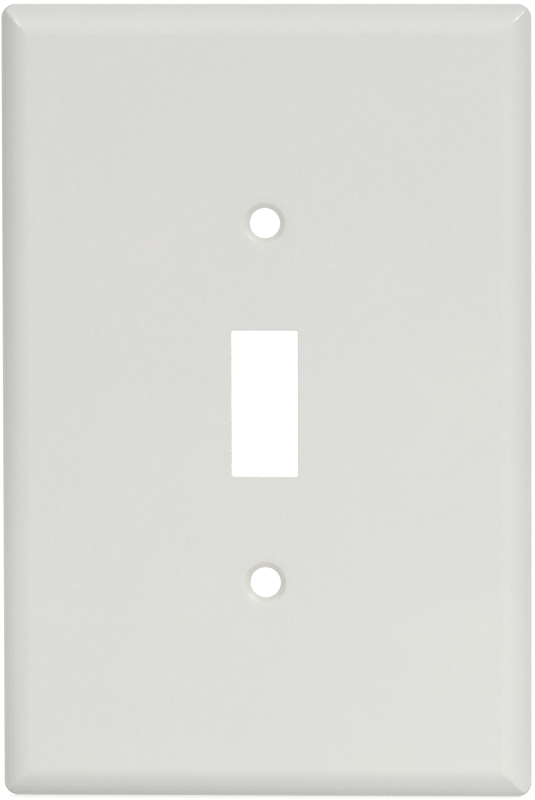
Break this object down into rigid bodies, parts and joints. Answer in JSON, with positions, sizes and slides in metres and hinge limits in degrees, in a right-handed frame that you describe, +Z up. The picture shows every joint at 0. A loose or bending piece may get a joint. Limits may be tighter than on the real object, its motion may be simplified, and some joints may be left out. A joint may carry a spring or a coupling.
{
  "type": "toggle switch wall plate",
  "caption": "Oversized single-gang wall plate for a toggle switch, an upright off-white moulding with a rolled edge, a toggle slot and countersunk screw holes.",
  "frame": {"origin": "centre of the plate in the plane of the wall: midway between the two screw holes, on the plane of the back edge that seats on the wall", "axes": "+Z up the wall along the plate's long side, +X to the right as the plate is looked at, +Y into the wall; the face looks along -Y"},
  "size_m": [0.0888, 0.0063, 0.1334],
  "materials": {
    "plate": "glossy off-white moulded thermoset"
  },
  "bodies": {
    "root": {"wall_plate": "plate"}
  },
  "joints": []
}
